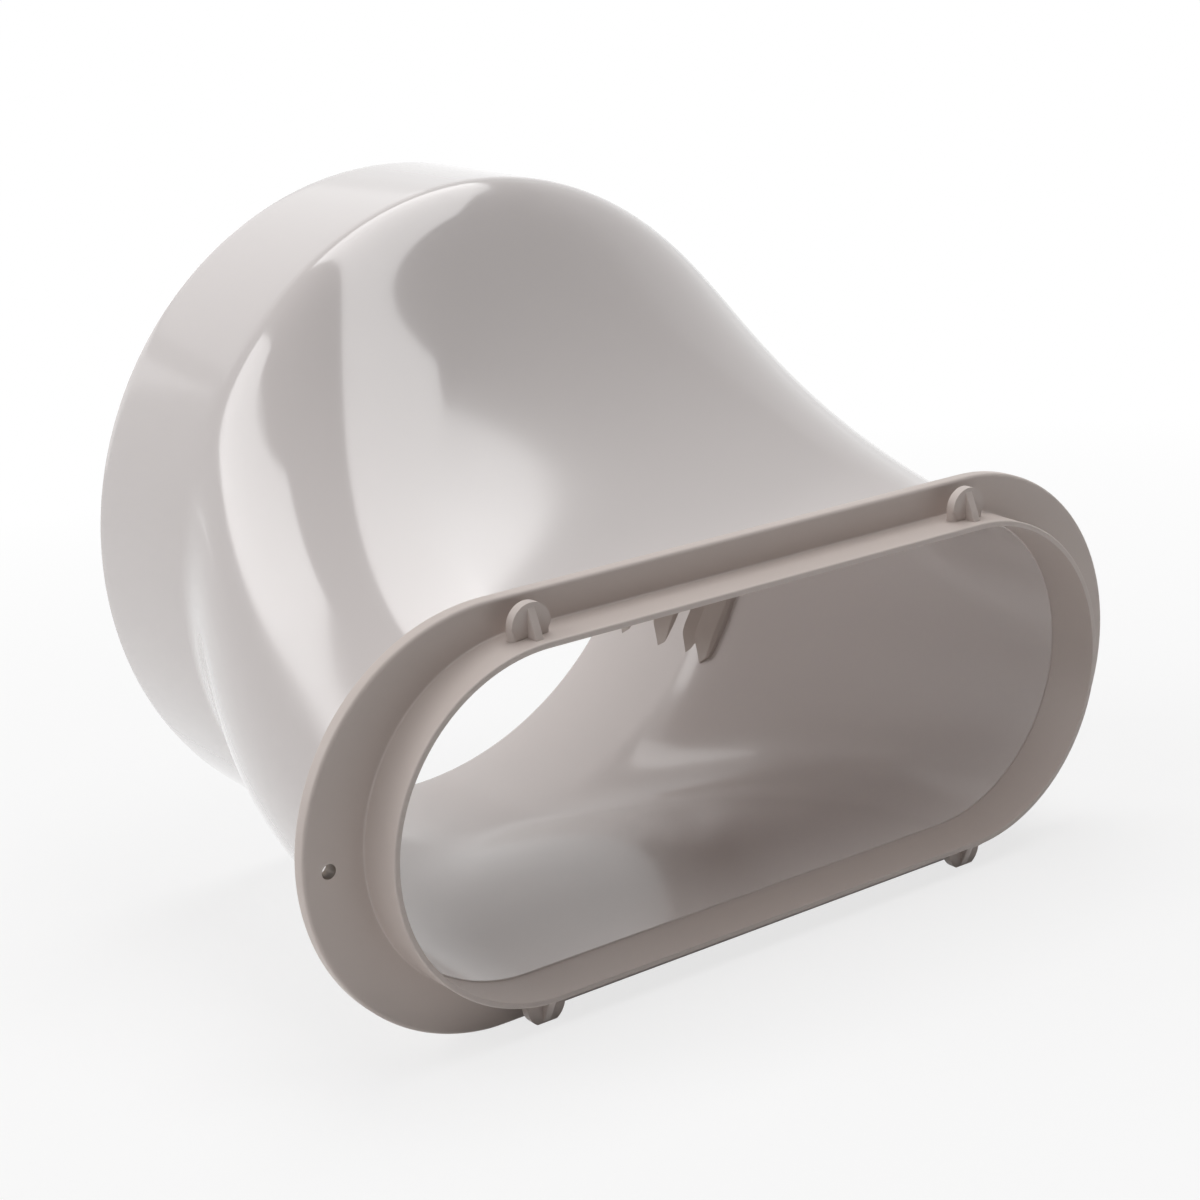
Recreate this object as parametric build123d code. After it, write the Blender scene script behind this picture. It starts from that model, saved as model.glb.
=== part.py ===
from build123d import *
import os
from math import ceil, cos, pi, sin

# Exhaust hose adapter, moulded in one piece: a round hose collar that sweeps down into a
# flat mouth with round ends, a flange that seats on a panel, and a spigot with snap lugs
# that passes through the panel's slot. All sizes are in millimetres.
# The flange's panel face lies in the XZ plane and faces -Y, with its long side along X.
# Z is up, and the hose collar points along +Y.

# Flange
flange_length = 210.0
flange_height = 86.5
flange_thickness = 3.4
flange_edge_round = 0.8

# Screw holes in the two ends of the flange
screw_inset = 5.4
screw_hole = 3.0

# Spigot, which leaves a land of the flange's face bare at its ends and along its sides
end_land = 13.0
side_land = 6.95
spigot_depth = 10.2
spigot_wall = 1.2
spigot_lip_round = 0.4
spigot_root_round = 1.0

# Snap lugs: upright plates on the spigot, each with a gusset on its front face
lug_pitch = 113.0
lug_width = 8.9
lug_height = 6.7
lug_thickness = 2.0
lug_edge_round = 1.5
panel_gap = 3.6
gusset_thickness = 1.8
gusset_reach = 2.7
gusset_drop = 0.8

# Hose collar, whose axis lies above the middle of the flange
collar_diameter = 155.0
collar_wall = 3.5
collar_length = 37.0
collar_rise = 26.0
collar_draft = 0.5
collar_rim_round = 1.0

# Transition from the flat mouth to the collar: the line along its top starts as a long,
# low tail behind the flange, climbs, and turns into the collar over a short shoulder
transition_length = 90.0
tail_length = 70.0
tail_rise = 15.0
shoulder_length = 14.0
wall_lag = 2.0

# The bore narrows from the rim inwards, and the transition meets it in a small step
bore_draft = 0.3
bore_step = 0.3

# Hose ribs: short lengths of coarse thread on the two sides of the collar's bore. From a
# low heel on the mouth's side each rib ramps up to its crest, and its ends run out to a point
rib_height = 3.2
rib_width = 5.0
rib_flank = 0.2
heel_height = 1.0
heel_flank = 0.7
rib_lead = 9.9
rib_pitch = 14.4
rib_half_span = 45.9
rib_runout = 5.7
rib_corner = 1.6
point_share = 0.38
stop_lead = 40.2
stop_width = 4.0
stop_groove = 0.4

# Points round each cross-section of the duct, and the distance between cross-sections
OUTLINE_POINTS = 48
SECTION_SPACING = 6.0
BEZIER_TOLERANCE = 1e-6
EDGE_TOLERANCE = 0.01

screw_pitch = flange_length - 2 * screw_inset
spigot_length = flange_length - 2 * end_land
spigot_height = flange_height - 2 * side_land
spigot_end_radius = spigot_height / 2
spigot_half_straight = spigot_length / 2 - spigot_end_radius
collar_radius = collar_diameter / 2
bore_radius = collar_radius - collar_wall
collar_axis = Axis((0, 0, collar_rise), (0, 1, 0))
rim_y = transition_length + collar_length
root_y = flange_thickness / 2
top_climb = collar_rise + collar_radius - spigot_end_radius


def on_section(y):
    """Plane of a cross-section, y behind the panel face, with its own X and Y along X and Z."""
    return Plane.XZ.offset(-y)


def bezier(t, start, first, second, end):
    return (
        start * (1 - t) ** 3
        + 3 * first * t * (1 - t) ** 2
        + 3 * second * t**2 * (1 - t)
        + end * t**3
    )


def stadium_point(share, half_straight, radius, centre_z):
    """Point at a share of the way round a stadium, counted from its rightmost point."""
    quarter = pi * radius / 2
    straight = 2 * half_straight
    run = share * (4 * quarter + 2 * straight)
    if run < quarter:
        angle = run / radius
        return half_straight + radius * cos(angle), centre_z + radius * sin(angle)
    run -= quarter
    if run < straight:
        return half_straight - run, centre_z + radius
    run -= straight
    if run < 2 * quarter:
        angle = pi / 2 + run / radius
        return -half_straight + radius * cos(angle), centre_z + radius * sin(angle)
    run -= 2 * quarter
    if run < straight:
        return -half_straight + run, centre_z - radius
    angle = -pi / 2 + (run - straight) / radius
    return half_straight + radius * cos(angle), centre_z + radius * sin(angle)


def duct_outline(y, half_straight, radius, centre_z):
    """Flat face, y behind the panel face, bounded by one smooth closed curve."""
    points = []
    for i in range(OUTLINE_POINTS):
        x, z = stadium_point(i / OUTLINE_POINTS, half_straight, radius, centre_z)
        points.append((x, y, z))
    return Face(Wire([Spline(*points, periodic=True)]))


def climb_at(y, straight_y):
    """Share of the way from the mouth's section to the collar's, on the line along the top."""
    if y >= straight_y:
        return 1.0
    reach = straight_y - root_y
    low, high = 0.0, 1.0
    while high - low > BEZIER_TOLERANCE:
        t = (low + high) / 2
        if bezier(t, 0, tail_length, reach - shoulder_length, reach) < y - root_y:
            low = t
        else:
            high = t
    return bezier(low, 0, tail_rise / top_climb, 1, 1)


def duct_solid(mouth_inset, collar_inset, lag, draft, end_y):
    """Filled duct: its surface lies inside the adapter's outside by the two insets."""
    mouth_radius = spigot_end_radius - mouth_inset
    straight_y = transition_length + lag
    climb_radius = collar_radius - collar_inset - mouth_radius
    spans = ceil((end_y - root_y) / SECTION_SPACING)
    sections = []
    for i in range(spans + 1):
        y = root_y + (end_y - root_y) * i / spans
        climb = climb_at(y, straight_y)
        half_straight = spigot_half_straight * (1 - climb)
        radius = mouth_radius + climb_radius * climb
        radius += draft * min(climb, (rim_y - y) / collar_length)
        sections.append(duct_outline(y, half_straight, radius, collar_rise * climb))
    return loft(sections)


def flange_plate():
    plate = extrude(on_section(0) * SlotOverall(flange_length, flange_height), -flange_thickness)
    return fillet(plate.edges(), flange_edge_round)


def spigot_block():
    outline = on_section(root_y) * SlotOverall(spigot_length, spigot_height)
    block = extrude(outline, root_y + spigot_depth)
    lip = block.edges().group_by(Axis.Y)[0]
    return fillet(lip, spigot_lip_round)


def snap_lug(x, side):
    """Thumb-shaped plate with its gusset, standing up (side 1) or down (side -1)."""
    top_z = spigot_end_radius + lug_height
    crown_z = top_z - lug_width / 2
    outline = Pos(0, crown_z) * Circle(lug_width / 2)
    outline += Pos(0, crown_z / 2) * Rectangle(lug_width, crown_z)
    plate = extrude(on_section(-panel_gap) * outline, lug_thickness)
    plate = fillet(plate.faces().sort_by(Axis.Y)[0].edges(), lug_edge_round)
    front_y = -panel_gap - lug_thickness
    toe_y = front_y - gusset_reach
    profile = Polyline(
        (front_y + lug_thickness / 2, 0),
        (toe_y, 0),
        (toe_y, spigot_end_radius),
        (front_y, top_z - gusset_drop),
        (front_y + lug_thickness / 2, top_z - gusset_drop),
        close=True,
    )
    gusset = extrude(Plane.YZ * make_face(profile), gusset_thickness / 2, both=True)
    lug = plate + gusset
    if side < 0:
        lug = mirror(lug, Plane.XY)
    return Pos(x, 0, 0) * lug


def rib_band(middle_y, width):
    """Two rib segments, one on each side of the bore, cut from one ramped ring."""
    crest = bore_radius - rib_height
    root = bore_radius
    outside = collar_diameter
    half = width / 2
    profile = Polyline(
        (root - heel_height, -half + heel_flank),
        (crest, half - rib_flank),
        (root, half),
        (outside, half),
        (outside, -half),
        (root, -half),
        close=True,
    )
    ring_plane = Plane((0, middle_y, collar_rise), x_dir=(1, 0, 0), z_dir=(0, 0, 1))
    ring = revolve(ring_plane * make_face(profile), collar_axis)
    point = width * point_share - half
    plan = Polyline(
        (-half, -rib_half_span + rib_corner),
        (point, -rib_half_span),
        (half, -rib_half_span + rib_runout),
        (half, rib_half_span - rib_runout),
        (point, rib_half_span),
        (-half, rib_half_span - rib_corner),
        close=True,
    )
    plan_plane = Plane((0, middle_y, collar_rise), x_dir=(0, 1, 0), z_dir=(1, 0, 0))
    return ring & extrude(plan_plane * make_face(plan), outside, both=True)


def hose_ribs():
    """Two single ribs, then a rib with a narrower one behind it where the hose stops."""
    first_y = rim_y - rib_lead
    last_y = rim_y - stop_lead
    stop_y = last_y + rib_width / 2 + stop_groove + stop_width / 2
    ribs = [rib_band(y, rib_width) for y in (first_y, first_y - rib_pitch, last_y)]
    return ribs + [rib_band(stop_y, stop_width)]


def air_path():
    """Space inside the adapter: straight mouth, transition, and bore with its ribs left in."""
    overrun = flange_thickness
    mouth_outline = SlotOverall(spigot_length - 2 * spigot_wall, spigot_height - 2 * spigot_wall)
    mouth = extrude(on_section(root_y) * mouth_outline, root_y + spigot_depth + overrun)
    bore_y = transition_length + wall_lag
    narrow_radius = bore_radius - bore_draft
    collar_inset = collar_radius - narrow_radius + bore_step
    path = mouth + duct_solid(spigot_wall + bore_step, collar_inset, wall_lag, 0, bore_y)
    lead_in_y = rim_y - rib_lead + rib_width / 2
    profile = Polyline(
        (0, bore_y),
        (narrow_radius, bore_y),
        (bore_radius, lead_in_y),
        (bore_radius, rim_y + overrun),
        (0, rim_y + overrun),
        close=True,
    )
    path += revolve(Pos(0, 0, collar_rise) * make_face(profile), collar_axis)
    for rib in hose_ribs():
        path -= rib
    return path


def adapter_body():
    base = flange_plate() + spigot_block()
    root_edges = base.edges().filter_by_position(Axis.Y, -EDGE_TOLERANCE, EDGE_TOLERANCE)
    reach_x = spigot_length / 2 + EDGE_TOLERANCE
    root_edges = root_edges.filter_by(lambda e: e.bounding_box().max.X < reach_x)
    root_edges = root_edges.filter_by(lambda e: e.bounding_box().min.X > -reach_x)
    base = fillet(root_edges, spigot_root_round)
    body = base + duct_solid(0, 0, 0, collar_draft, rim_y)
    for x in (-lug_pitch / 2, lug_pitch / 2):
        for side in (1, -1):
            body += snap_lug(x, side)
    body -= air_path()
    for x in (-screw_pitch / 2, screw_pitch / 2):
        hole = on_section(flange_thickness) * Pos(x, 0) * Circle(screw_hole / 2)
        body -= extrude(hole, 2 * flange_thickness)
    rim_edges = body.edges().group_by(Axis.Y)[-1]
    return fillet(rim_edges, collar_rim_round)


os.makedirs("parts", exist_ok=True)
export_step(adapter_body(), "parts/adapter_body.step")
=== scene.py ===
# %% [markdown]
# # A hose adapter, from its sections to its shine
#
# The object is one glossy plastic moulding. A round collar takes an exhaust hose, and the
# wall behind it sweeps down into a flat mouth with round ends. A flange with two screw holes
# seats on a panel, and a spigot with four snap lugs goes through the panel's slot.
#
# The measured model is loaded first.

# %% The measured model
import bmesh
import bpy
from math import cos, pi, radians, sin
from mathutils import Matrix, Vector


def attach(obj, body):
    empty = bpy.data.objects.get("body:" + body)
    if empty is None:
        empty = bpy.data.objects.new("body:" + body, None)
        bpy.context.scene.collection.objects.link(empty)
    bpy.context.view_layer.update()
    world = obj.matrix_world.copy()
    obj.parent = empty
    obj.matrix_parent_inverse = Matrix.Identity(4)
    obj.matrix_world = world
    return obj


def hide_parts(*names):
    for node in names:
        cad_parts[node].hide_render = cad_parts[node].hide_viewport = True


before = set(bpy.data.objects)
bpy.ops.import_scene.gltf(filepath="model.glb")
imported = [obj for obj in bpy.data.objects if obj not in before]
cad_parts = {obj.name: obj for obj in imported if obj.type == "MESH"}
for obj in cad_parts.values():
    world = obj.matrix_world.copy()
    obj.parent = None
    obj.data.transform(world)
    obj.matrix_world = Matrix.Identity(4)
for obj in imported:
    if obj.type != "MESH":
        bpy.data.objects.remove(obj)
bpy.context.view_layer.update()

# %% [markdown]
# ## Sections
#
# Cut anywhere across, the moulding shows the same kind of outline: two half circles joined
# by two straights. Four numbers describe a cut: half the length of its straights, its place
# along Y, the radius of its ends, and its lift above the middle of the flange. Modelling
# the wall by hand would take a cage of points to push about. A chart of cuts is shorter,
# and a change to one size moves everything that depends on it.

# %% Sizes of the sections, in millimetres
MM = 0.001
FLANGE_LENGTH, FLANGE_HEIGHT, FLANGE_THICKNESS, FLANGE_ROUND = 210.0, 86.5, 3.4, 0.8
END_LAND, SIDE_LAND = 13.0, 6.95
SPIGOT_DEPTH, SPIGOT_WALL, LIP_ROUND, ROOT_ROUND = 10.2, 1.2, 0.4, 0.4
COLLAR_RADIUS, COLLAR_WALL, COLLAR_LENGTH, COLLAR_RISE = 77.5, 3.5, 37.0, 26.0
COLLAR_DRAFT, RIM_ROUND = 0.5, 1.0
TRANSITION_LENGTH, TAIL_LENGTH, TAIL_RISE, SHOULDER_LENGTH = 90.0, 70.0, 15.0, 14.0
WALL_LAG, BORE_DRAFT, BORE_STEP, LEAD_IN = 2.0, 0.3, 0.3, 7.4
SHARP = 0.12
ARC_STEPS, SHARP_STEPS, COLLAR_STEPS, DUCT_STEPS, BORE_STEPS = 6, 3, 18, 96, 14
FACE_SHARES, MOUTH_SHARES = (0.06, 0.5, 0.94), (0.03, 0.5, 0.97, 1)

flange_radius = FLANGE_HEIGHT / 2
flange_half = FLANGE_LENGTH / 2 - flange_radius
spigot_radius = flange_radius - SIDE_LAND
spigot_half = FLANGE_LENGTH / 2 - END_LAND - spigot_radius
mouth_radius = spigot_radius - SPIGOT_WALL
bore_radius = COLLAR_RADIUS - COLLAR_WALL
rim_y = TRANSITION_LENGTH + COLLAR_LENGTH
root_y = FLANGE_THICKNESS / 2
top_climb = COLLAR_RISE + COLLAR_RADIUS - spigot_radius
print("spigot straights:", 2 * spigot_half, "rim at:", rim_y)


# %% How the wall climbs from the mouth to the collar
def bezier(t, start, first, second, end):
    return (
        start * (1 - t) ** 3
        + 3 * first * t * (1 - t) ** 2
        + 3 * second * t**2 * (1 - t)
        + end * t**3
    )


def climb(t, straight_y):
    """Place along Y and share of the climb, where t runs from the mouth to the collar."""
    reach = straight_y - root_y
    y = root_y + bezier(t, 0, TAIL_LENGTH, reach - SHOULDER_LENGTH, reach)
    return y, bezier(t, 0, TAIL_RISE / top_climb, 1, 1)


def duct_cut(t, mouth_inset, collar_inset, lag, draft):
    """Chart entry of the wall's outside, or of its inside where the insets are not nought."""
    y, share = climb(t, TRANSITION_LENGTH + lag)
    start = spigot_radius - mouth_inset
    radius = start + (COLLAR_RADIUS - collar_inset - start) * share + draft * share
    return spigot_half * (1 - share), y, radius, COLLAR_RISE * share


print("half way along:", [round(v, 2) for v in duct_cut(0.5, 0, 0, 0, COLLAR_DRAFT)])

# %% [markdown]
# The chart runs once round the wall's thickness: down the outside from the rim, out over
# the flange, along the spigot, back through the mouth and up the inside. Real mouldings have
# no knife edges, and it is their small rounds that catch the light, so every corner here is
# a short arc of cuts.


# %% The chart of cuts
def arc(centre_y, centre_radius, size, start, end, half, lift, steps=ARC_STEPS):
    """Cuts round a corner: angles in degrees, with 0 outwards and 90 towards the collar."""
    cuts = []
    for i in range(steps + 1):
        angle = radians(start + (end - start) * i / steps)
        y, radius = centre_y + size * sin(angle), centre_radius + size * cos(angle)
        cuts.append((half, y, radius, lift))
    return cuts


def between(first, last, shares):
    """Cuts between two chart entries."""
    return [tuple(a + (b - a) * s for a, b in zip(first, last)) for s in shares]


def outside_cuts():
    cuts = arc(rim_y - RIM_ROUND, COLLAR_RADIUS - RIM_ROUND, RIM_ROUND, 90, 0, 0, COLLAR_RISE)
    straight_end = rim_y - TRANSITION_LENGTH
    for i in range(1, COLLAR_STEPS + 1):
        y = rim_y - RIM_ROUND - (straight_end - RIM_ROUND) * i / COLLAR_STEPS
        radius = COLLAR_RADIUS + COLLAR_DRAFT * (rim_y - y) / COLLAR_LENGTH
        cuts.append((0, y, radius, COLLAR_RISE))
    duct = [duct_cut(1 - i / DUCT_STEPS, 0, 0, 0, COLLAR_DRAFT) for i in range(1, DUCT_STEPS)]
    return cuts + [cut for cut in duct if cut[1] > FLANGE_THICKNESS + ROOT_ROUND / 2]


def flange_cuts(foot):
    """Back of the flange, its edge and its panel face, from wall's foot to spigot's root."""
    half, _, radius, lift = foot
    start = (half, FLANGE_THICKNESS, radius + ROOT_ROUND / 2, lift)
    edge = flange_radius - FLANGE_ROUND
    outer = (flange_half, FLANGE_THICKNESS, edge, 0)
    cuts = between(start, outer, (0,) + FACE_SHARES)
    cuts += arc(FLANGE_THICKNESS - FLANGE_ROUND, edge, FLANGE_ROUND, 90, 0, flange_half, 0)
    cuts += arc(FLANGE_ROUND, edge, FLANGE_ROUND, 0, -90, flange_half, 0)
    face = (flange_half, 0, edge, 0)
    root = (spigot_half, 0, spigot_radius + ROOT_ROUND, 0)
    return cuts + between(face, root, FACE_SHARES)


def spigot_cuts():
    """Root, outside, lip and inside of the spigot, up to the step behind the flange."""
    half, lip = spigot_half, spigot_radius - LIP_ROUND
    cuts = arc(-ROOT_ROUND, spigot_radius + ROOT_ROUND, ROOT_ROUND, 90, 180, half, 0)
    low, high = -SPIGOT_DEPTH + LIP_ROUND, -ROOT_ROUND
    root_end, lip_start = (half, high, spigot_radius, 0), (half, low, spigot_radius, 0)
    cuts += between(root_end, lip_start, FACE_SHARES)
    cuts += arc(low, lip, LIP_ROUND, 0, -90, half, 0)
    mouth_y = -SPIGOT_DEPTH + SHARP
    cuts += arc(mouth_y, mouth_radius + SHARP, SHARP, -90, -180, half, 0, SHARP_STEPS)
    mouth, step = (half, mouth_y, mouth_radius, 0), (half, root_y - SHARP, mouth_radius, 0)
    return cuts + between(mouth, step, MOUTH_SHARES)


def inside_cuts():
    """The wall's inside, the small steps at its two ends, the bore and the rim."""
    collar_inset = COLLAR_WALL + BORE_DRAFT + BORE_STEP
    mouth_inset = SPIGOT_WALL + BORE_STEP
    cuts = []
    for i in range(DUCT_STEPS + 1):
        cuts.append(duct_cut(i / DUCT_STEPS, mouth_inset, collar_inset, WALL_LAG, 0))
    bore_y = TRANSITION_LENGTH + WALL_LAG
    narrow = bore_radius - BORE_DRAFT
    lead_in_y = rim_y - LEAD_IN
    cuts.append((0, bore_y + SHARP, narrow, COLLAR_RISE))
    for i in range(1, BORE_STEPS + 1):
        share = i / BORE_STEPS
        y = bore_y + (lead_in_y - bore_y) * share
        cuts.append((0, y, narrow + BORE_DRAFT * share, COLLAR_RISE))
    cuts += arc(rim_y - RIM_ROUND, bore_radius + RIM_ROUND, RIM_ROUND, 180, 90, 0, COLLAR_RISE)
    return cuts


outside = outside_cuts()
front = flange_cuts(outside[-1]) + spigot_cuts()
inside = inside_cuts()
chart = outside + front + inside
chart.append(chart[0])
print("cuts in the chart:", len(chart))

# %% [markdown]
# ## A small language for node trees
#
# Geometry and shader trees are both drawn from here, so the arithmetic is written as plain
# Python. A `Wire` stands for an output socket, and adding or multiplying wires puts Math
# nodes in the tree. Every other node comes from the one method `add`.


# %% Wires and trees
class Wire:
    """An output socket that can be used in expressions."""

    def __init__(self, net, socket):
        self.net, self.socket = net, socket

    def math(self, operation, *others):
        sockets = dict(enumerate((self,) + others))
        return self.net.add("ShaderNodeMath", {"operation": operation}, sockets)[0]

    def __add__(self, other):
        return self.math("ADD", other)

    def __radd__(self, other):
        return self.math("ADD", other)

    def __sub__(self, other):
        return self.math("SUBTRACT", other)

    def __rsub__(self, other):
        return self.net.add("ShaderNodeMath", {"operation": "SUBTRACT"}, {0: other, 1: self})[0]

    def __mul__(self, other):
        return self.math("MULTIPLY", other)

    def __rmul__(self, other):
        return self.math("MULTIPLY", other)

    def __truediv__(self, other):
        return self.math("DIVIDE", other)

    def __rtruediv__(self, other):
        return self.net.add("ShaderNodeMath", {"operation": "DIVIDE"}, {0: other, 1: self})[0]

    def __abs__(self):
        return self.math("ABSOLUTE")

    def clamp(self, low, high):
        return self.math("MAXIMUM", low).math("MINIMUM", high)


class Net:
    """A node tree that nodes are added to."""

    def __init__(self, tree):
        self.tree = tree

    def add(self, kind, settings=None, sockets=None):
        node = self.tree.nodes.new(kind)
        for name, value in (settings or {}).items():
            if name == "stops":
                self.set_stops(node.color_ramp, value)
            else:
                setattr(node, name, value)
        for name, value in (sockets or {}).items():
            if isinstance(value, Wire):
                self.tree.links.new(value.socket, node.inputs[name])
            else:
                node.inputs[name].default_value = value
        return Outputs(self, node)

    def set_stops(self, ramp, stops):
        while len(ramp.elements) < len(stops):
            ramp.elements.new(1.0)
        for element, (place, colour) in zip(ramp.elements, stops):
            element.position = place
            element.color = colour


class Outputs:
    """The outputs of a node, by name or number."""

    def __init__(self, net, node):
        self.net, self.node = net, node

    def __getitem__(self, name):
        return Wire(self.net, self.node.outputs[name])


def node_group(name, inputs):
    """An empty geometry tree with named inputs, given as name, socket type and value."""
    tree = bpy.data.node_groups.new(name, "GeometryNodeTree")
    tree.interface.new_socket("Geometry", in_out="INPUT", socket_type="NodeSocketGeometry")
    tree.interface.new_socket("Geometry", in_out="OUTPUT", socket_type="NodeSocketGeometry")
    for label, kind, value in inputs:
        socket = tree.interface.new_socket(label, in_out="INPUT", socket_type="NodeSocket" + kind)
        if value is not None:
            socket.default_value = value
    net = Net(tree)
    return net, net.add("NodeGroupInput")


def finish_group(net, geometry, material):
    """Last nodes of a geometry tree: real faces, their material, and the output."""
    solid = net.add("GeometryNodeRealizeInstances", None, {"Geometry": geometry})["Geometry"]
    painted = net.add("GeometryNodeSetMaterial", None, {"Geometry": solid, "Material": material})
    net.add("NodeGroupOutput", None, {"Geometry": painted["Geometry"]})


def grown_mesh(name, base, net, values):
    """Runs a geometry tree on a base mesh and returns an object with the plain result."""
    host = bpy.data.objects.new(name + "_host", base)
    bpy.context.scene.collection.objects.link(host)
    modifier = host.modifiers.new(name, "NODES")
    modifier.node_group = net.tree
    for item in net.tree.interface.items_tree:
        if item.in_out == "INPUT" and item.name in values:
            modifier[item.identifier] = values[item.name]
    ready = host.evaluated_get(bpy.context.evaluated_depsgraph_get())
    mesh = bpy.data.meshes.new_from_object(ready)
    host.modifiers.remove(modifier)
    bpy.data.objects.remove(host)
    mesh.name = name
    piece = bpy.data.objects.new(name, mesh)
    bpy.context.scene.collection.objects.link(piece)
    print(name, "faces:", len(mesh.polygons))
    return piece


# %% [markdown]
# ## The finish
#
# The plastic is a warm light grey. Where the mould was polished, on the outside of the wall,
# it shines like glass. The core that shaped the inside was left duller, and the inside is
# painted paler, as painted light that brightens it. The flange, the spigot, the lugs and the
# ribs are satin, and are painted a little browner, as painted shade for the warm bounced light
# they get. Three materials could do this, but they would meet in hard lines. Here one number
# between 0 and 1 says how polished a place is, and the pieces carry it as an attribute called
# `polish`. The screw holes and the ribs are painted darker and browner still, as painted shade
# for the holes' dark depth and the ribs' dim light, and a second attribute says where.
#
# Close up nothing is one flat colour: the melt leaves faint clouds, the gloss is duller where
# hands have been, and a polished mould still has a little orange peel. All of these are faint.

# %% Gloss plastic
CORE_POLISH = 0.66
# Both tints are partly painted. The satin one is browner, a painted shade for the warm bounced
# light on the flange, spigot, lugs and ribs. The core one is paler, a painted light that
# brightens the inside.
SATIN_TINT_WITH_PAINTED_SHADE, CORE_TINT_WITH_PAINTED_LIGHT = (0.600, 0.525, 0.488, 1), (0.705, 0.645, 0.622, 1)
POLISHED_TINT, PAINTED_SHADE_COLOUR = (0.612, 0.562, 0.549, 1), (0.200, 0.150, 0.115, 1)
MELT_SCALE, HANDLING_SCALE, PEEL_SCALE, GRAIN_SCALE = 14.0, 38.0, 420.0, 2600.0
CLOUD_LOW, CLOUD_SPAN, PEEL_SHARE = 0.975, 0.05, 0.6
SATIN_ROUGHNESS, POLISH_GAIN, HANDLING_LOSS = 0.42, 0.32, 0.06
COAT, COAT_WEAR = 0.95, 0.2
shell_plastic = bpy.data.materials.new("shell_plastic")
shell_plastic.use_nodes = True
shell_plastic.node_tree.nodes.clear()
finish = Net(shell_plastic.node_tree)
place = finish.add("ShaderNodeTexCoord")["Object"]


def clouds(scale, detail, roughness=0.5):
    sockets = {"Vector": place, "Scale": scale, "Detail": detail, "Roughness": roughness}
    return finish.add("ShaderNodeTexNoise", None, sockets)["Fac"]


melt = clouds(MELT_SCALE, 3.0)
handling = clouds(HANDLING_SCALE, 4.0, 0.6)
peel = clouds(PEEL_SCALE, 2.0)
grain = clouds(GRAIN_SCALE, 1.0)
polish = finish.add("ShaderNodeAttribute", {"attribute_name": "polish"})["Fac"]
# Where shade is painted on: 1 in the screw holes, less on the ribs.
dust = finish.add("ShaderNodeAttribute", {"attribute_name": "dust"})["Fac"]


def blend(factor, first, second):
    """A colour between two colours, each of them a wire or red, green, blue and alpha."""
    sockets = {"Factor": factor, 6: first, 7: second}
    mix = finish.add("ShaderNodeMix", {"data_type": "RGBA"}, sockets)
    return Wire(finish, mix.node.outputs[2])


# The tint follows polish: the satin parts get the browner painted shade, and the inside gets the
# paler painted light.
stops = ((0.0, SATIN_TINT_WITH_PAINTED_SHADE), (CORE_POLISH, CORE_TINT_WITH_PAINTED_LIGHT), (1.0, POLISHED_TINT))
tint = finish.add("ShaderNodeValToRGB", {"stops": stops}, {"Fac": polish})["Color"]
cloudy = finish.add(
    "ShaderNodeVectorMath",
    {"operation": "SCALE"},
    {0: tint, "Scale": CLOUD_LOW + CLOUD_SPAN * melt},
)["Vector"]
height = PEEL_SHARE * peel + (1 - PEEL_SHARE) * grain
bump = finish.add(
    "ShaderNodeBump", None, {"Strength": 0.006, "Distance": 0.0004, "Height": height}
)
surface = finish.add(
    "ShaderNodeBsdfPrincipled",
    None,
    {
        # The screw holes and the ribs are darkened towards a brown painted shade.
        "Base Color": blend(dust, cloudy, PAINTED_SHADE_COLOUR),
        "Roughness": SATIN_ROUGHNESS - POLISH_GAIN * polish + HANDLING_LOSS * handling,
        "Normal": bump["Normal"],
        "IOR": 1.5,
        "Coat Weight": (2 * polish - 1).clamp(0.0, 1.0) * (COAT - COAT_WEAR * handling),
        "Coat Roughness": 0.08,
    },
)
finish.add("ShaderNodeOutputMaterial", None, {"Surface": surface["BSDF"]})
print("nodes in the finish:", len(shell_plastic.node_tree.nodes))

# %% [markdown]
# ## The wall
#
# A grid is bent round the chart: one direction of the grid walks along the cuts, the other
# walks round each outline at an even pace. Along the way round, the outline turns only on
# its two ends and moves sideways only on its straights, so each is a sum of clamped runs.
# The two screw holes are then cut through the ends of the flange.

# %% The wall's tree
COLUMNS, SCREW_INSET, SCREW_HOLE, HOLE_SIDES, SEAM = 288, 5.4, 3.0, 40, 1e-7

net, given = node_group(
    "wall",
    [
        ("Columns", "Int", COLUMNS),
        ("Screw pitch", "Float", (FLANGE_LENGTH - 2 * SCREW_INSET) * MM),
        ("Screw radius", "Float", SCREW_HOLE / 2 * MM),
        ("Drill length", "Float", 4 * FLANGE_THICKNESS * MM),
        ("Material", "Material", None),
    ],
)
cuts = given["Geometry"]
rows = net.add("GeometryNodeAttributeDomainSize", {"component": "MESH"}, {"Geometry": cuts})
rows = rows["Point Count"]
grid = net.add(
    "GeometryNodeMeshGrid",
    None,
    {"Size X": 1.0, "Size Y": 1.0, "Vertices X": given["Columns"] + 1, "Vertices Y": rows},
)
spot = net.add("ShaderNodeSeparateXYZ", None, {0: net.add("GeometryNodeInputPosition")[0]})
share = spot["X"] + 0.5
row = ((spot["Y"] + 0.5) * (rows - 1)).math("ROUND")


def chart_value(kind, source):
    settings = {"data_type": kind, "domain": "POINT"}
    return net.add(
        "GeometryNodeSampleIndex", settings, {"Geometry": cuts, "Value": source, "Index": row}
    )["Value"]


cut = net.add(
    "ShaderNodeSeparateXYZ",
    None,
    {0: chart_value("FLOAT_VECTOR", net.add("GeometryNodeInputPosition")[0])},
)


def chart_attribute(name):
    source = net.add("GeometryNodeInputNamedAttribute", {"data_type": "FLOAT"}, {"Name": name})
    return chart_value("FLOAT", source["Attribute"])


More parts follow.
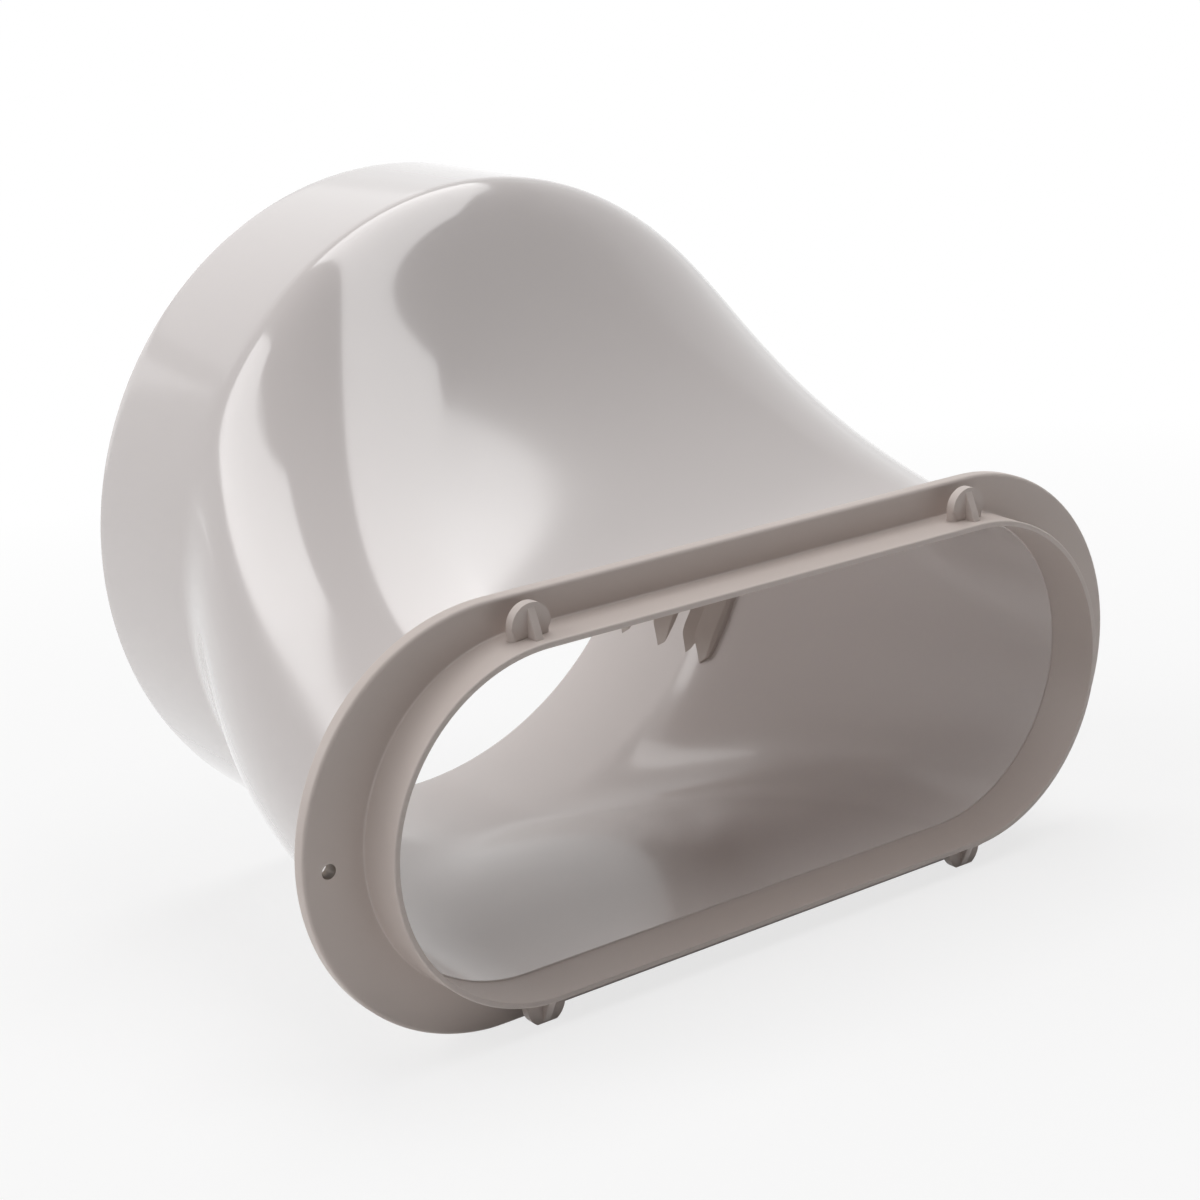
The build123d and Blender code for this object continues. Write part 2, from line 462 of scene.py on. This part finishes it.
lift, polished = chart_attribute("lift"), chart_attribute("polish")
half, along, radius = cut["X"], cut["Y"], cut["Z"]
quarter = radius * (pi / 2)
straight = half * 2
run = share * (quarter * 4 + straight * 2)


def stretch(start, length):
    return (run - start).clamp(0.0, length)


turn = stretch(0.0, quarter) + stretch(quarter + straight, quarter * 2)
turn = (turn + stretch(quarter * 3 + straight * 2, quarter)) / radius
middle = half - stretch(quarter, straight) + stretch(quarter * 3 + straight, straight)
bent = net.add(
    "ShaderNodeCombineXYZ",
    None,
    {
        "X": middle + radius * turn.math("COSINE"),
        "Y": along,
        "Z": lift + radius * turn.math("SINE"),
    },
)
flat = net.add(
    "GeometryNodeStoreNamedAttribute",
    {"data_type": "FLOAT", "domain": "POINT"},
    {"Geometry": grid["Mesh"], "Name": "polish", "Value": polished},
)
wall = net.add(
    "GeometryNodeSetPosition", None, {"Geometry": flat["Geometry"], "Position": bent[0]}
)
wall = net.add(
    "GeometryNodeMergeByDistance", None, {"Geometry": wall["Geometry"], "Distance": SEAM}
)
wall = net.add("GeometryNodeFlipFaces", None, {"Mesh": wall["Geometry"]})
drill = net.add(
    "GeometryNodeMeshCylinder",
    {"fill_type": "NGON"},
    {"Vertices": HOLE_SIDES, "Radius": given["Screw radius"], "Depth": given["Drill length"]},
)
first_hole = net.add("ShaderNodeCombineXYZ", None, {"X": given["Screw pitch"] * -0.5})
hole_step = net.add("ShaderNodeCombineXYZ", None, {"X": given["Screw pitch"]})
centres = net.add(
    "GeometryNodeMeshLine",
    None,
    {"Count": 2, "Start Location": first_hole[0], "Offset": hole_step[0]},
)
drills = net.add(
    "GeometryNodeInstanceOnPoints",
    None,
    {"Points": centres["Mesh"], "Instance": drill["Mesh"], "Rotation": (pi / 2, 0, 0)},
)
drills = net.add("GeometryNodeRealizeInstances", None, {"Geometry": drills["Instances"]})
# The screw holes' walls are marked for full painted shade, which makes them look dark in their
# depth.
drills = net.add(
    "GeometryNodeStoreNamedAttribute",
    {"data_type": "FLOAT", "domain": "FACE"},
    {"Geometry": drills["Geometry"], "Name": "dust", "Value": 1.0},
)
bored = net.add(
    "GeometryNodeMeshBoolean",
    {"operation": "DIFFERENCE", "solver": "EXACT"},
    {0: wall["Mesh"], 1: drills["Geometry"]},
)
finish_group(net, bored["Mesh"], given["Material"])

# %% Growing the wall from the chart
chart_mesh = bpy.data.meshes.new("chart")
chart_mesh.from_pydata(
    [(half * MM, y * MM, radius * MM) for half, y, radius, _ in chart],
    [(i, i + 1) for i in range(len(chart) - 1)],
    [],
)
lifts = [cut[3] * MM for cut in chart]
polishes = [1.0] * len(outside) + [0.0] * len(front) + [CORE_POLISH] * len(inside) + [1.0]
for name, values in (("lift", lifts), ("polish", polishes)):
    chart_mesh.attributes.new(name, "FLOAT", "POINT").data.foreach_set("value", values)
wall_piece = grown_mesh("adapter_wall", chart_mesh, net, {"Material": shell_plastic})


# %% Smooth faces with sharp corners kept
CORNER, MILLILITRES = radians(40), 1e6


def smooth(piece):
    """Points the faces outwards, shades them smooth and keeps corners over an angle sharp."""
    shape = bmesh.new()
    shape.from_mesh(piece.data)
    bmesh.ops.remove_doubles(shape, verts=shape.verts, dist=SEAM)
    bmesh.ops.dissolve_degenerate(shape, edges=shape.edges, dist=SEAM)
    rims = [edge for edge in shape.edges if len(edge.link_faces) == 1]
    bmesh.ops.holes_fill(shape, edges=rims)
    bmesh.ops.recalc_face_normals(shape, faces=shape.faces)
    if shape.calc_volume(signed=True) < 0:
        bmesh.ops.reverse_faces(shape, faces=shape.faces)
    for face in shape.faces:
        face.smooth = True
    for edge in shape.edges:
        edge.smooth = len(edge.link_faces) == 2 and edge.calc_face_angle() < CORNER
    open_edges = sum(len(edge.link_faces) != 2 for edge in shape.edges)
    volume = round(shape.calc_volume() * MILLILITRES, 1)
    print(piece.name, "volume in ml:", volume, "open edges:", open_edges)
    shape.to_mesh(piece.data)
    shape.free()


smooth(wall_piece)

# %% [markdown]
# ## Snap lugs
#
# Four thumb-shaped lugs stand off the spigot and hold the panel's edge. Each is an upright
# plate with a round head and a gusset down the middle of its front. One lug is modelled in
# mesh code and bevelled. A geometry tree sets it out at the four places, turned over on the
# underside.

# %% One lug
LUG_PITCH, LUG_WIDTH, LUG_HEIGHT, LUG_THICKNESS, LUG_ROUND = 113.0, 8.9, 6.7, 2.0, 1.5
PANEL_GAP, GUSSET_THICKNESS, GUSSET_REACH, GUSSET_DROP = 3.6, 1.8, 2.7, 0.8
LUG_SEAT, GUSSET_ROUND, HEAD_STEPS, ROUND_STEPS, TOLERANCE = 1.0, 0.25, 32, 6, 1e-9


def prism(shape, outline, direction):
    """Adds a closed prism to a mesh and returns its faces: outline, then outline moved."""
    near = [shape.verts.new(Vector(p) * MM) for p in outline]
    far = [shape.verts.new((Vector(p) + Vector(direction)) * MM) for p in outline]
    count = len(outline)
    faces = [shape.faces.new(near), shape.faces.new(list(reversed(far)))]
    for i in range(count):
        j = (i + 1) % count
        faces.append(shape.faces.new((near[j], near[i], far[i], far[j])))
    return faces


def lug_mesh():
    top = spigot_radius + LUG_HEIGHT
    foot = spigot_radius - LUG_SEAT
    head = LUG_WIDTH / 2
    front = -PANEL_GAP - LUG_THICKNESS
    outline = [(-head, front, foot), (head, front, foot)]
    for i in range(HEAD_STEPS + 1):
        angle = pi * i / HEAD_STEPS
        outline.append((head * cos(angle), front, top - head + head * sin(angle)))
    plate = bmesh.new()
    faces = prism(plate, outline, (0, LUG_THICKNESS, 0))
    rim = list(faces[0].edges)
    rounded = {"affect": "EDGES", "profile": 0.5}
    bmesh.ops.bevel(plate, geom=rim, offset=LUG_ROUND * MM, segments=ROUND_STEPS, **rounded)
    side = GUSSET_THICKNESS / 2
    web = [
        (-side, front + LUG_THICKNESS / 2, foot),
        (-side, front - GUSSET_REACH, foot),
        (-side, front - GUSSET_REACH, spigot_radius),
        (-side, front, top - GUSSET_DROP),
        (-side, front + LUG_THICKNESS / 2, top - GUSSET_DROP),
    ]
    gusset = bmesh.new()
    prism(gusset, web, (GUSSET_THICKNESS, 0, 0))
    bmesh.ops.recalc_face_normals(gusset, faces=gusset.faces)
    limit = front * MM + TOLERANCE
    crest = [e for e in gusset.edges if all(v.co.y <= limit for v in e.verts)]
    bmesh.ops.bevel(
        gusset, geom=crest, offset=GUSSET_ROUND * MM, segments=ROUND_STEPS // 2, **rounded
    )
    web_mesh = bpy.data.meshes.new("gusset")
    gusset.to_mesh(web_mesh)
    gusset.free()
    plate.from_mesh(web_mesh)
    mesh = bpy.data.meshes.new("lug")
    plate.to_mesh(mesh)
    plate.free()
    return mesh


# %% Four lugs
net, given = node_group(
    "lugs", [("Pitch", "Float", LUG_PITCH * MM), ("Material", "Material", None)]
)
first_lug = net.add("ShaderNodeCombineXYZ", None, {"X": given["Pitch"] * -0.5})
lug_step = net.add("ShaderNodeCombineXYZ", None, {"X": given["Pitch"]})
places = {"Count": 2, "Start Location": first_lug[0], "Offset": lug_step[0]}
places = net.add("GeometryNodeMeshLine", None, places)["Mesh"]
upper = net.add(
    "GeometryNodeInstanceOnPoints", None, {"Points": places, "Instance": given["Geometry"]}
)
lower = net.add(
    "GeometryNodeInstanceOnPoints",
    None,
    {"Points": places, "Instance": given["Geometry"], "Rotation": (0, pi, 0)},
)
both = net.add("GeometryNodeJoinGeometry", None, {"Geometry": upper["Instances"]})
net.tree.links.new(lower["Instances"].socket, both.node.inputs[0])
finish_group(net, both["Geometry"], given["Material"])
lug_piece = grown_mesh("snap_lugs", lug_mesh(), net, {"Material": shell_plastic})
smooth(lug_piece)

# %% [markdown]
# ## Hose ribs
#
# Inside the collar, short lengths of coarse thread bite into the hose's spiral. Each rib
# follows the bore. From a low heel on the mouth's side it ramps up to a crest three
# millimetres proud, and it runs out to a point at both ends. The shape follows a rule, so a
# grid is bent into it: one way along the height of the collar, the other way across the rib.
# The tree then sets the rib out along the collar and on both sides.

# %% The ribs' tree
RIB_HEIGHT, RIB_WIDTH, RIB_FLANK, RIB_LEAD, RIB_PITCH = 3.2, 5.0, 0.2, 9.9, 14.4
HEEL_HEIGHT, HEEL_FLANK, POINT_SHARE = 1.0, 0.7, 0.38
RIB_HALF_SPAN, RIB_RUNOUT, RIB_CORNER, RIB_SINK = 45.9, 5.7, 1.6, 7.0
STOP_LEAD, STOP_WIDTH, STOP_GROOVE, RIB_SEAT = 40.2, 4.0, 0.4, 2.4
# The first number is how much painted shade darkens the ribs.
RIB_PAINTED_SHADE, SINK_BLEND, HEEL_BLEND, CREST_BLEND = 0.35, 0.4, 0.08, 0.1

net, given = node_group(
    "ribs",
    [
        ("Bore radius", "Float", bore_radius * MM),
        ("Height", "Float", RIB_HEIGHT * MM),
        ("Half span", "Float", RIB_HALF_SPAN * MM),
        ("Runout", "Float", RIB_RUNOUT * MM),
        ("Corner", "Float", RIB_CORNER * MM),
        ("Sink", "Float", RIB_SINK * MM),
        ("Point", "Float", POINT_SHARE),
        ("Seat", "Float", RIB_SEAT * MM),
        ("Material", "Material", None),
    ],
)
RIB_ROWS, RIB_COLUMNS = 121, 49
HALF_COLUMNS = RIB_COLUMNS // 2
grid = net.add(
    "GeometryNodeMeshGrid",
    None,
    {"Size X": 2.0, "Size Y": 2.0, "Vertices X": RIB_COLUMNS, "Vertices Y": RIB_ROWS},
)
spot = net.add("ShaderNodeSeparateXYZ", None, {0: net.add("GeometryNodeInputPosition")[0]})
up = spot["Y"] * given["Half span"]
left = given["Half span"] - abs(up)
far = (left / given["Runout"]).clamp(0.0, 1.0)
near = (left / given["Corner"]).clamp(0.0, 1.0)
crest = (left / given["Sink"]).math("SMOOTH_MIN", 1.0, SINK_BLEND)
step = abs(spot["X"]) * HALF_COLUMNS
spread = (step / (HALF_COLUMNS - 1)).math("MINIMUM", 1.0)
sunk = (step - (HALF_COLUMNS - 1)).clamp(0.0, 1.0)
across = spot["X"].math("SIGN") * spread * 0.5 + 0.5
heel, heel_end = HEEL_HEIGHT / RIB_HEIGHT, HEEL_FLANK / RIB_WIDTH
crest_start = 1 - RIB_FLANK / RIB_WIDTH
ramp = heel + (across - heel_end) * ((1 - heel) / (crest_start - heel_end))
flank = (1 - across) * (RIB_WIDTH / RIB_FLANK)
proud = (across * (heel / heel_end)).math("SMOOTH_MIN", ramp, HEEL_BLEND)
proud = proud.math("SMOOTH_MIN", flank, CREST_BLEND).clamp(0.0, 1.0)
reach = given["Bore radius"] - given["Height"] * proud * crest + given["Seat"] * sunk
side = (reach * reach - up * up).math("SQRT")
start = given["Point"] * (1 - near)
end = given["Point"] + (1 - given["Point"]) * far
offset = start + (end - start) * across - 0.5
rib_point = net.add("ShaderNodeCombineXYZ", None, {"X": side, "Y": offset, "Z": up})
rib = net.add(
    "GeometryNodeSetPosition", None, {"Geometry": grid["Mesh"], "Position": rib_point[0]}
)


def base_value(name):
    settings = {"data_type": "FLOAT"}
    return net.add("GeometryNodeInputNamedAttribute", settings, {"Name": name})["Attribute"]


turned = net.add("ShaderNodeCombineXYZ", None, {"Y": base_value("turn")})
sized = net.add("ShaderNodeCombineXYZ", None, {"X": 1.0, "Y": base_value("width"), "Z": 1.0})
points = net.add("GeometryNodeMeshToPoints", None, {"Mesh": given["Geometry"]})
ribs = net.add(
    "GeometryNodeInstanceOnPoints",
    None,
    {
        "Points": points["Points"],
        "Instance": rib["Geometry"],
        "Rotation": turned[0],
        "Scale": sized[0],
    },
)
ribs = net.add("GeometryNodeRealizeInstances", None, {"Geometry": ribs["Instances"]})
# The ribs are marked for some painted shade, which stands for the dim bounced light they get.
ribs = net.add(
    "GeometryNodeStoreNamedAttribute",
    {"data_type": "FLOAT", "domain": "FACE"},
    {"Geometry": ribs["Geometry"], "Name": "dust", "Value": RIB_PAINTED_SHADE},
)
finish_group(net, ribs["Geometry"], given["Material"])

# %% Setting out the ribs
first_y = rim_y - RIB_LEAD
last_y = rim_y - STOP_LEAD
rib_rows = [
    (first_y, RIB_WIDTH),
    (first_y - RIB_PITCH, RIB_WIDTH),
    (last_y, RIB_WIDTH),
    (last_y + RIB_WIDTH / 2 + STOP_GROOVE + STOP_WIDTH / 2, STOP_WIDTH),
]
rib_marks = [(y, width, turn) for y, width in rib_rows for turn in (0, pi)]
base = bpy.data.meshes.new("rib_marks")
base.from_pydata([(0, y * MM, COLLAR_RISE * MM) for y, _, _ in rib_marks], [], [])
for name, values in (
    ("width", [width * MM for _, width, _ in rib_marks]),
    ("turn", [turn for _, _, turn in rib_marks]),
):
    base.attributes.new(name, "FLOAT", "POINT").data.foreach_set("value", values)
rib_piece = grown_mesh("hose_ribs", base, net, {"Material": shell_plastic})
smooth(rib_piece)

# %% [markdown]
# ## On the body
#
# The three pieces together stand for the measured part. They ride on its only body, and the
# measured part is hidden.

# %% Riding on the body
for piece in (wall_piece, lug_piece, rib_piece):
    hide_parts("adapter_body")
    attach(piece, "root")
print("pieces:", wall_piece.name, lug_piece.name, rib_piece.name)

# %% [markdown]
# ## Floor, light and camera
#
# The adapter leans on its collar and on the lower edge of its flange, so the floor is laid
# under those two lines.

# %% Floor
FLANGE_FOOT = Vector((0, FLANGE_THICKNESS, -flange_radius)) * MM
COLLAR_FOOT = Vector((0, TRANSITION_LENGTH, COLLAR_RISE - COLLAR_RADIUS - COLLAR_DRAFT)) * MM
FLOOR_SIZE = 6.0
slope = (COLLAR_FOOT - FLANGE_FOOT).normalized()
floor_mesh = bpy.data.meshes.new("floor")
corners = []
for x, along in ((-1, -1), (1, -1), (1, 1), (-1, 1)):
    corners.append(FLANGE_FOOT + Vector((x, 0, 0)) * FLOOR_SIZE + slope * along * FLOOR_SIZE)
floor_mesh.from_pydata(corners, [], [(0, 1, 2, 3)])
floor = bpy.data.objects.new("floor", floor_mesh)
bpy.context.scene.collection.objects.link(floor)

# %% [markdown]
# White paper under an object photographs as pure white only because the picture is exposed
# for it. More light would do the same here, and would wash the adapter out. So the paper is
# lit as everything else is, and part of what the camera sees of it is a plain white glow. Near
# the adapter that part is smaller, which keeps a soft shadow, and it grows to all of it
# further away, where the sheet has to vanish into a white room.

# %% White paper
PAPER_CENTRE, SHADOW_REACH, WHITE_FROM, SHADOW_SHARE = (0.0, 0.06, -0.045), 0.12, 0.55, 0.25
WHITE, PAPER_WHITE = (1, 1, 1, 1), (0.9, 0.9, 0.9, 1)
paper = bpy.data.materials.new("white_paper")
paper.use_nodes = True
paper.node_tree.nodes.clear()
paper_net = Net(paper.node_tree)


def looks_white(net):
    """1 for rays that show the background: from the camera, or by way of gloss or glass."""
    rays = net.add("ShaderNodeLightPath")
    seen = rays["Is Camera Ray"].math("MAXIMUM", rays["Is Glossy Ray"])
    return seen.math("MAXIMUM", rays["Is Transmission Ray"])


place_on_paper = paper_net.add("ShaderNodeTexCoord")["Object"]
away = paper_net.add(
    "ShaderNodeVectorMath", {"operation": "DISTANCE"}, {0: place_on_paper, 1: PAPER_CENTRE}
)["Value"]
fade = ((away - SHADOW_REACH) / (WHITE_FROM - SHADOW_REACH)).clamp(0.0, 1.0)
glow_share = 1 - SHADOW_SHARE * (1 - fade)
matt = paper_net.add("ShaderNodeBsdfDiffuse", None, {"Color": PAPER_WHITE})
glow = paper_net.add("ShaderNodeEmission", None, {"Color": WHITE, "Strength": 1.0})
sheet = paper_net.add(
    "ShaderNodeMixShader",
    None,
    {0: looks_white(paper_net) * glow_share, 1: matt["BSDF"], 2: glow["Emission"]},
)
paper_net.add("ShaderNodeOutputMaterial", None, {"Surface": sheet["Shader"]})
floor_mesh.materials.append(paper)
print("floor corners:", len(floor_mesh.vertices))

# %% [markdown]
# The room works in the same way: the camera and the gloss see plain white, and what lights the
# adapter from all round is only a little of it, so that the lamps do the modelling.

# %% White room
AMBIENT = 0.02
world = bpy.data.worlds.new("studio")
bpy.context.scene.world = world
world.use_nodes = True
world.node_tree.nodes.clear()
room = Net(world.node_tree)
ambient = room.add("ShaderNodeBackground", None, {"Color": WHITE, "Strength": AMBIENT})
white = room.add("ShaderNodeBackground", None, {"Color": WHITE, "Strength": 1.0})
mixed = room.add(
    "ShaderNodeMixShader",
    None,
    {0: looks_white(room), 1: ambient["Background"], 2: white["Background"]},
)
room.add("ShaderNodeOutputWorld", None, {"Surface": mixed["Shader"]})
print("light from all round:", AMBIENT)

# %% [markdown]
# Gloss shows the lamps' own shapes, so the highlights say where they stood. The bright patch
# on the left of the wall has straight edges, and following them back from the wall gives a
# large panel overhead, tipped towards the mouth. The long streak beside it is a tall panel on
# the left, behind the adapter. The dim band between the two is the gap between the panels.
# Each panel is given by its middle and its two sides, and by how bright it looks, with 1 as
# white. Its power follows from its area.


# %% Softboxes
def softbox(name, middle, across, along, brightness):
    """Rectangular lamp that shines against the direction of across x along."""
    across, along = Vector(across), Vector(along)
    lamp = bpy.data.lights.new(name, "AREA")
    lamp.shape = "RECTANGLE"
    lamp.size, lamp.size_y = across.length, along.length
    lamp.energy = brightness * pi * lamp.size * lamp.size_y
    back = across.cross(along).normalized()
    side = across.normalized()
    turn = Matrix((side, back.cross(side), back)).transposed().to_4x4()
    box = bpy.data.objects.new(name, lamp)
    box.matrix_world = Matrix.Translation(middle) @ turn
    bpy.context.scene.collection.objects.link(box)
    print(name, "watts:", round(lamp.energy, 2))


softbox("overhead", (0.331, 0.026, 1.159), (0.934, 0.128, 0.183), (-0.169, 1.29, -0.405), 2.8)
softbox("left_tall", (-1.02, 0.89, 0.85), (0, -0.74, 0), (0, 0, 1.5), 2.9)
softbox("left_front", (-1.0, 0.06, 0.65), (0, -0.9, 0), (0, 0, 1.2), 1.05)
softbox("rear_high", (0.0, 1.3, 0.95), (-1.4, 0, 0), (0, -0.1, 0.7), 0.25)
softbox("rear_low", (-0.1, 1.3, 0.25), (-1.0, 0, 0), (0, 0, 0.5), 0.5)
softbox("right", (1.1, 0.3, 0.7), (0, 1.1, 0), (0, 0, 0.9), 0.13)

# %% [markdown]
# The camera stands where the photograph's camera stood. Its place, its direction and its lens
# were worked out together with the adapter's proportions, from the outlines of the flange, the
# spigot and the collar, so the render can be laid over the photograph.

# %% Camera
camera = bpy.data.cameras.new("camera")
camera.sensor_fit = "HORIZONTAL"
camera.sensor_width = 36.0
camera.lens = 78.33
viewer = bpy.data.objects.new("camera", camera)
right = Vector((0.79246, -0.60918, -0.03002))
down = Vector((-0.21045, -0.22691, -0.95091))
forward = Vector((0.57246, 0.75988, -0.30802))
stand = Vector((-320.496, -377.182, 190.551)) * MM
turn = Matrix((right, -down, -forward)).transposed().to_4x4()
viewer.matrix_world = Matrix.Translation(stand) @ turn
bpy.context.scene.collection.objects.link(viewer)
bpy.context.scene.camera = viewer
bpy.context.scene.view_settings.view_transform = "Standard"
print("camera at:", [round(value, 3) for value in stand])
